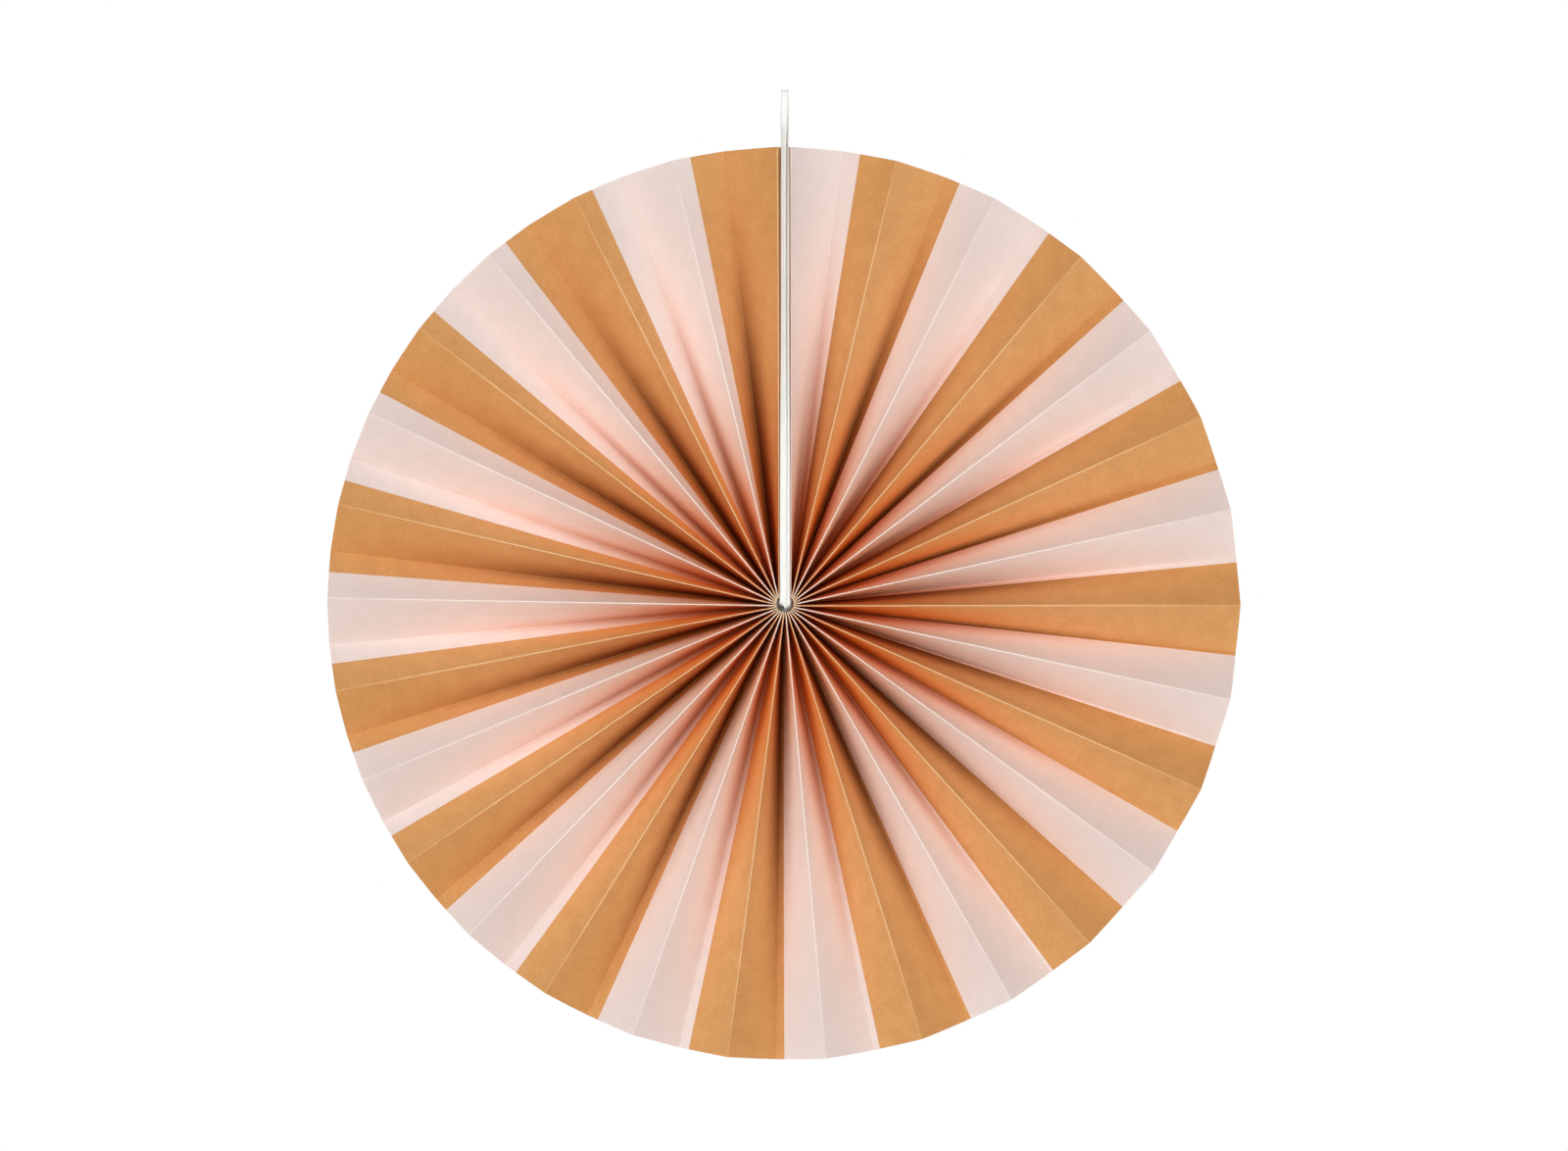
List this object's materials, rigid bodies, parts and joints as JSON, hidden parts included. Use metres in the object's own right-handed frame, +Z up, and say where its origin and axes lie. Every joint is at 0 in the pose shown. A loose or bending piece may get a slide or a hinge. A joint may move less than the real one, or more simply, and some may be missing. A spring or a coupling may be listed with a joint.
{
  "type": "paper fan rosette",
  "caption": "Flat round party decoration: a striped card strip folded into radial pleats and closed into a disc, hung by a white satin ribbon loop from its hub",
  "frame": {"origin": "the axis of the hook that the ribbon loop hangs on, inside the loop's bend", "axes": "+Z up, against the pull of the rosette's weight; -Y is the printed front of the disc, +Y its plain back; +X is to the right of someone who looks at the front"},
  "size_m": [0.4, 0.034, 0.4246],
  "materials": {
    "printed_card": "matte card, printed pink and caramel in turn on the front, plain white on the back",
    "adhesive_tape": "thin double-sided tape",
    "cotton_thread": "white cotton thread",
    "satin_ribbon": "white satin"
  },
  "bodies": {
    "root": {"pleated_sheet": "printed_card", "seam_tape": "adhesive_tape", "gathering_thread": "cotton_thread", "hanging_loop": "satin_ribbon", "loop_knot": "satin_ribbon"}
  },
  "joints": []
}
